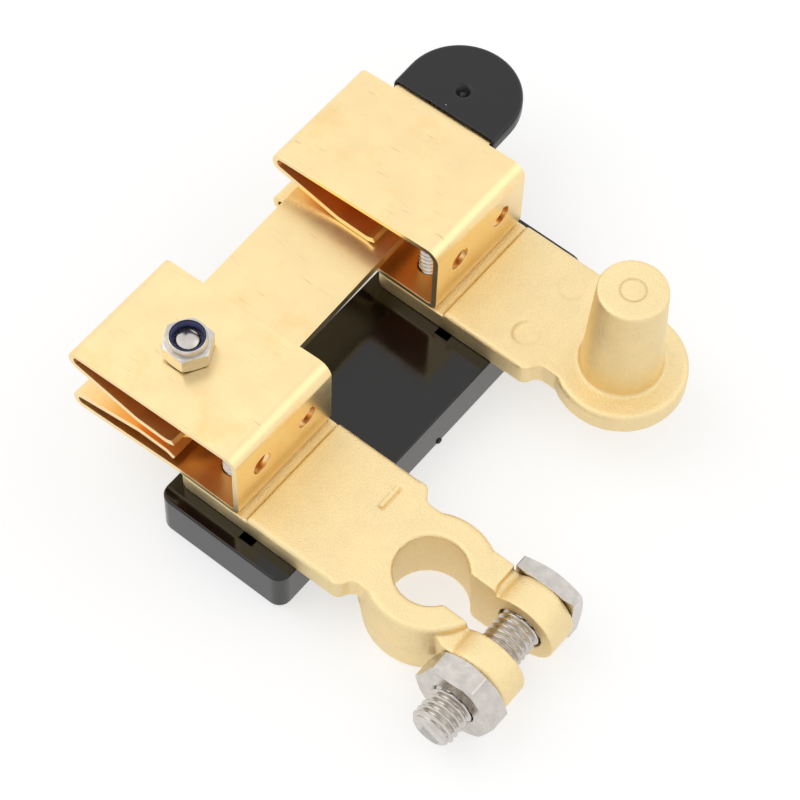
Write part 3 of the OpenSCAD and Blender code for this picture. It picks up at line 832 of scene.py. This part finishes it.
def add_top_groove(piece):
    """Cut the round groove that an ejector pin left in the top of the post."""
    points = points_of(piece.data)
    top = CAD_BOX[1][2]
    width, depth, reach = 0.22 * MM, 0.2 * MM, 0.6 * MM
    offset = points[:, :2] - np.array(POST_PLACE) * MM
    distance = np.hypot(offset[:, 0], offset[:, 1])
    groove = np.exp(-(((distance - POST_GROOVE_RADIUS * MM) / width) ** 2))
    groove *= points[:, 2] > top - reach
    points[:, 2] -= groove * depth
    move_points(piece.data, points)
    # The groove is also painted darker, as painted shade.
    add_painted_groove_shade(piece, groove)


def add_pin_marks(piece):
    """Sink the ejector pins' shallow round marks, one of them scarred, into the post's plate."""
    sizes = settings("switch_sizes")
    points = points_of(piece.data)
    top = points[:, 2] > PLATE_TOP * MM - 0.4 * MM
    for x, y, scar_depth in PIN_MARKS:
        scar = scar_depth * MM
        offset = points[:, :2] - np.array([x, y]) * MM
        distance = np.hypot(offset[:, 0], offset[:, 1])
        inside = 1 / (1 + np.exp((distance - sizes.pin_mark_radius) / (0.12 * MM)))
        rim = np.exp(-(((distance - sizes.pin_mark_radius) / (0.3 * MM)) ** 2))
        ragged = np.clip(offset[:, 1] * -0.3 - offset[:, 0], 0, None) / sizes.pin_mark_radius
        drop = inside * sizes.pin_mark_depth + rim * ragged * scar
        points[:, 2] -= drop * top
        # The rims and the scar are painted darker, as painted shade.
        add_painted_groove_shade(piece, rim * top * (0.15 + ragged * scar / (0.3 * MM)))
    move_points(piece.data, points)


class SWITCH_OT_castings(bpy.types.Operator):
    """Dress the two cast terminals"""
    bl_idname = "switch.castings"
    bl_label = "Castings"

    def execute(self, context):
        material = material_named("Plated casting")
        clamp = cast_skin("clamp_terminal", "clamp_casting", SHOULDER)
        add_parting_line(clamp)
        add_minus_sign(clamp)
        finish_piece(clamp, material, ["clamp_terminal"])
        post = cast_skin("post_terminal", "post_casting", GATE_STUB)
        add_top_groove(post)
        add_pin_marks(post)
        finish_piece(post, material, ["post_terminal"])
        return {"FINISHED"}


class SWITCH_OT_jaws(bpy.types.Operator):
    """Dress the two folded spring jaws"""
    bl_idname = "switch.jaws"
    bl_label = "Spring jaws"

    def execute(self, context):
        for node in ("pivot_jaw", "contact_jaw"):
            piece = copy_of(node, node + "_sheet")
            round_edges(piece, settings("switch_sizes").sheet_edge)
            mark_enclosed(piece, 40 * MM)
            finish_piece(piece, material_named("Plated sheet"), [node])
        return {"FINISHED"}


class SWITCH_OT_blade(bpy.types.Operator):
    """Dress the flat blade"""
    bl_idname = "switch.blade"
    bl_label = "Blade"

    def execute(self, context):
        piece = copy_of("switch_blade", "blade_plate")
        round_edges(piece, settings("switch_sizes").sheet_edge * 1.6)
        finish_piece(piece, material_named("Plated blade"), ["switch_blade"])
        return {"FINISHED"}


class SWITCH_OT_grip(bpy.types.Operator):
    """Dress the soft grip with its deep dimples"""
    bl_idname = "switch.grip"
    bl_label = "Grip"

    def execute(self, context):
        sizes = settings("switch_sizes")
        piece = soften(copy_of("handle_grip", "soft_grip"), sizes.grip_cell, 3)
        low, high = (np.array(corner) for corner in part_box("handle_grip"))
        middle = (low + high) / 2
        points = points_of(piece.data)
        centre = np.array([middle[0] - 0.1 * MM, high[1] - 13.2 * MM])
        distance = np.hypot(*(points[:, :2] - centre).T)
        hollow = sizes.dimple_depth * np.clip(1 - distance / sizes.dimple_radius, 0, 1)
        outward = np.sign(points[:, 2] - middle[2])
        skin = np.abs(points[:, 2] - middle[2]) > 1.5 * MM
        points[:, 2] -= outward * hollow * skin
        facet = np.array(FACET_NORMAL)
        beyond = np.clip(points[:, :2] @ facet - FACET_OFFSET * MM, 0, None)
        points[:, :2] -= beyond[:, None] * facet
        move_points(piece.data, keep_in_box(points, "handle_grip"))
        finish_piece(piece, material_named("Soft grip"), ["handle_grip"])
        return {"FINISHED"}


class SWITCH_OT_base(bpy.types.Operator):
    """Dress the black insulating block, with the nub that its gate left"""
    bl_idname = "switch.base"
    bl_label = "Base"

    def execute(self, context):
        piece = copy_of("insulator_base", "base_block")
        shade(piece, 30)
        weighted = piece.modifiers.new("Even normals", "WEIGHTED_NORMAL")
        weighted.keep_sharp = True
        settle(piece)
        nub = bmesh.new()
        place = Matrix.Translation(Vector(BASE_NUB) * MM) @ Matrix.Diagonal((0.7, 1.1, 0.8, 1))
        bmesh.ops.create_icosphere(nub, subdivisions=2, radius=0.8 * MM, matrix=place)
        join_shape(piece, nub)
        finish_piece(piece, material_named("Gloss moulding"), ["insulator_base"])
        return {"FINISHED"}


class SWITCH_OT_pivot(bpy.types.Operator):
    """Dress the pivot bolt, its locknut and the nylon insert"""
    bl_idname = "switch.pivot"
    bl_label = "Pivot"

    def execute(self, context):
        sizes = settings("switch_sizes")
        bolt = bolt_with_thread(
            "pivot_bolt", "pivot_bolt_threaded", 4 * MM, 3 * MM, sizes.pivot_pitch, 0.7 * MM, (0, 0, 1))
        finish_piece(bolt, material_named("Bright steel"), ["pivot_bolt"])
        nut = copy_of("pivot_locknut", "locknut_body")
        low, high = (Vector(corner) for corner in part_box("pivot_locknut"))
        middle = Matrix.Translation((low + high) / 2)
        turn = Matrix.Rotation(math.radians(LOCKNUT_TURN), 4, "Z")
        nut.data.transform(middle @ turn @ middle.inverted())
        round_edges(nut, sizes.steel_edge, 2)
        finish_piece(nut, material_named("Bright steel"), ["pivot_locknut"])
        ring = copy_of("locknut_insert", "locknut_ring")
        round_edges(ring, sizes.steel_edge, 2)
        finish_piece(ring, material_named("Blue nylon"), ["locknut_insert"])
        return {"FINISHED"}


class SWITCH_OT_jaw_screws(bpy.types.Operator):
    """Dress the four screws that hold the jaws"""
    bl_idname = "switch.jaw_screws"
    bl_label = "Jaw screws"

    def execute(self, context):
        sizes = settings("switch_sizes")
        for jaw in ("pivot_jaw", "contact_jaw"):
            for place in ("front", "rear"):
                node = f"{jaw}_screw_{place}"
                screw = bolt_with_thread(
                    node, node + "_threaded", 3.6 * MM, 2.5 * MM, sizes.screw_pitch, 0.6 * MM, (0, 0, 1))
                finish_piece(screw, material_named("Bright steel"), [node])
        return {"FINISHED"}


class SWITCH_OT_clamp_bolt(bpy.types.Operator):
    """Dress the clamp bolt and its nut"""
    bl_idname = "switch.clamp_bolt"
    bl_label = "Clamp bolt"

    def execute(self, context):
        sizes = settings("switch_sizes")
        bolt = bolt_with_thread(
            "clamp_bolt", "clamp_bolt_threaded", 4 * MM, 5 * MM, sizes.clamp_pitch, 1.0 * MM, (0, -1, 0))
        finish_piece(bolt, material_named("Bright steel"), ["clamp_bolt"])
        nut = copy_of("clamp_nut", "clamp_nut_body")
        round_edges(nut, sizes.steel_edge * 1.3, 2)
        finish_piece(nut, material_named("Bright steel"), ["clamp_nut"])
        return {"FINISHED"}


# Studio

def seen_directly(tree):
    """One for camera, glossy and transmission rays, and nought for the rest."""
    path = tree.nodes.new("ShaderNodeLightPath")
    seen = calculate(tree, "MAXIMUM", path.outputs["Is Camera Ray"], path.outputs["Is Glossy Ray"])
    return calculate(tree, "MAXIMUM", seen, path.outputs["Is Transmission Ray"])


def make_world(studio):
    """White background that lights the object only softly."""
    world = bpy.data.worlds.new("White studio")
    world.use_nodes = True
    tree = world.node_tree
    background = tree.nodes["Background"]
    background.inputs["Color"].default_value = (1, 1, 1, 1)
    strength = stretch(tree, seen_directly(tree), 0, 1, studio.soft_light, 1)
    tree.links.new(strength, background.inputs["Strength"])
    bpy.context.scene.world = world


def make_floor(studio):
    """Wide pale floor that keeps the object's shadow and meets the background."""
    half = 4.0
    mesh = bpy.data.meshes.new("floor")
    corners = [(-half, -half, 0), (half, -half, 0), (half, half, 0), (-half, half, 0)]
    mesh.from_pydata(corners, [], [(0, 1, 2, 3)])
    floor = new_piece("floor", mesh)
    floor.location.z = CAD_BOX[0][2] - 0.02 * MM
    material = bpy.data.materials.new("White floor")
    material.use_nodes = True
    tree = material.node_tree
    shader = tree.nodes["Principled BSDF"]
    shader.inputs["Base Color"].default_value = (0.52, 0.52, 0.52, 1)
    shader.inputs["Roughness"].default_value = 1.0
    shader.inputs["Specular IOR Level"].default_value = 0.0
    shader.inputs["Emission Color"].default_value = (1, 1, 1, 1)
    glow = calculate(tree, "MULTIPLY", seen_directly(tree), studio.floor_glow)
    tree.links.new(glow, shader.inputs["Emission Strength"])
    mesh.materials.append(material)


def make_lamp(name, place, aim, width, power):
    """A square soft lamp that looks at a point."""
    lamp = bpy.data.lights.new(name, "AREA")
    lamp.shape = "SQUARE"
    lamp.size = width
    lamp.energy = power
    holder = bpy.data.objects.new(name, lamp)
    bpy.context.scene.collection.objects.link(holder)
    holder.location = place
    holder.rotation_euler = (Vector(aim) - Vector(place)).to_track_quat("-Z", "Y").to_euler()


def make_camera(studio):
    """The camera that took the photograph."""
    azimuth, elevation, roll = studio.azimuth, studio.elevation, studio.roll
    back = Vector((
        math.sin(azimuth) * math.cos(elevation), -math.cos(azimuth) * math.cos(elevation),
        math.sin(elevation)))
    right = (-back).cross(Vector((0, 0, 1))).normalized()
    up = back.cross(right)
    turned_right = right * math.cos(roll) + up * math.sin(roll)
    turned_up = up * math.cos(roll) - right * math.sin(roll)
    camera = bpy.data.cameras.new("camera")
    camera.lens = studio.lens
    camera.sensor_width = 36
    camera.clip_start = 0.01
    holder = bpy.data.objects.new("camera", camera)
    bpy.context.scene.collection.objects.link(holder)
    axes = Matrix((turned_right, turned_up, back)).transposed().to_4x4()
    holder.matrix_world = Matrix.Translation(Vector(studio.aim) + back * studio.distance) @ axes
    bpy.context.scene.camera = holder


class SWITCH_OT_stage(bpy.types.Operator):
    """Set up the floor, the lamps, the background and the camera"""
    bl_idname = "switch.stage"
    bl_label = "Studio"

    def execute(self, context):
        studio = settings("switch_studio")
        make_camera(studio)
        make_world(studio)
        make_floor(studio)
        aim = tuple(studio.aim)
        make_lamp("key", (-1.1, -0.4, 1.5), aim, 1.6, 6)
        make_lamp("fill", (1.0, 1.0, 1.3), aim, 1.6, 3)
        context.scene.view_settings.view_transform = "Standard"
        return {"FINISHED"}


class SWITCH_PT_panel(bpy.types.Panel):
    """The switch's pieces and studio in the sidebar"""
    bl_idname = "SWITCH_PT_panel"
    bl_label = "Battery disconnect switch"
    bl_space_type = "VIEW_3D"
    bl_region_type = "UI"
    bl_category = "Switch"

    def draw(self, context):
        layout = self.layout
        for name in ("switch_sizes", "switch_colours", "switch_studio"):
            group = getattr(context.scene, name)
            box = layout.box()
            for prop in type(group).__annotations__:
                box.prop(group, prop)
        for operator in OPERATORS:
            layout.operator(operator.bl_idname)


OPERATORS = (
    SWITCH_OT_castings, SWITCH_OT_jaws, SWITCH_OT_blade, SWITCH_OT_grip, SWITCH_OT_base,
    SWITCH_OT_pivot, SWITCH_OT_jaw_screws, SWITCH_OT_clamp_bolt, SWITCH_OT_stage)
GROUPS = {
    "switch_sizes": SwitchSizes, "switch_colours": SwitchColours, "switch_studio": StudioSettings}


def register():
    for kind in (*GROUPS.values(), *OPERATORS, SWITCH_PT_panel):
        bpy.utils.register_class(kind)
    for name, kind in GROUPS.items():
        setattr(bpy.types.Scene, name, bpy.props.PointerProperty(type=kind))


def unregister():
    for name in GROUPS:
        delattr(bpy.types.Scene, name)
    for kind in reversed((*GROUPS.values(), *OPERATORS, SWITCH_PT_panel)):
        bpy.utils.unregister_class(kind)


def main():
    """Build every piece and the studio."""
    register()
    bpy.ops.switch.castings()
    bpy.ops.switch.jaws()
    bpy.ops.switch.blade()
    bpy.ops.switch.grip()
    bpy.ops.switch.base()
    bpy.ops.switch.pivot()
    bpy.ops.switch.jaw_screws()
    bpy.ops.switch.clamp_bolt()
    bpy.ops.switch.stage()
    bpy.context.view_layer.update()


if __name__ == "__main__":
    main()
